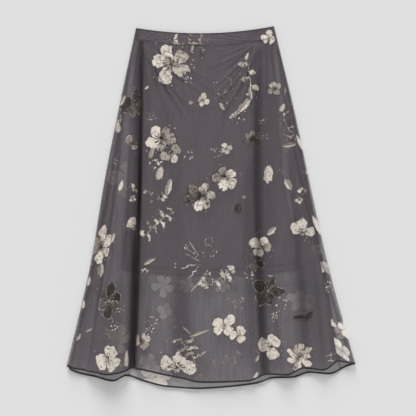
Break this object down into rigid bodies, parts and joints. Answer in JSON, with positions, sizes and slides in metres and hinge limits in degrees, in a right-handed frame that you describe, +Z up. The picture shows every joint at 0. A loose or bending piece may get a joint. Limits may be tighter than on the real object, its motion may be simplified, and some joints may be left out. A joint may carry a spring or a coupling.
{
  "type": "midi skirt",
  "caption": "A-line midi skirt in sheer printed georgette over a shorter plain lining, lying flat with its front up and a deep flute down one side.",
  "frame": {"origin": "on the surface that the skirt lies on, under the middle of its outline", "axes": "+Z up, out of the skirt's front; +Y from hem to waist; +X to the viewer's right, which is the wearer's left side"},
  "size_m": [0.7028, 0.8816, 0.0307],
  "materials": {
    "printed_georgette": "sheer matt georgette, mauve grey, with a scattered cream, grey and dark floral print",
    "waistband": "doubled georgette over interfacing, mauve grey",
    "lining": "plain opaque lining, dark mauve grey, soft sheen"
  },
  "bodies": {
    "root": {"waistband_front": "waistband", "waistband_back": "waistband", "skirt_front": "printed_georgette", "skirt_back": "printed_georgette", "lining_front": "lining", "lining_back": "lining"}
  },
  "joints": []
}
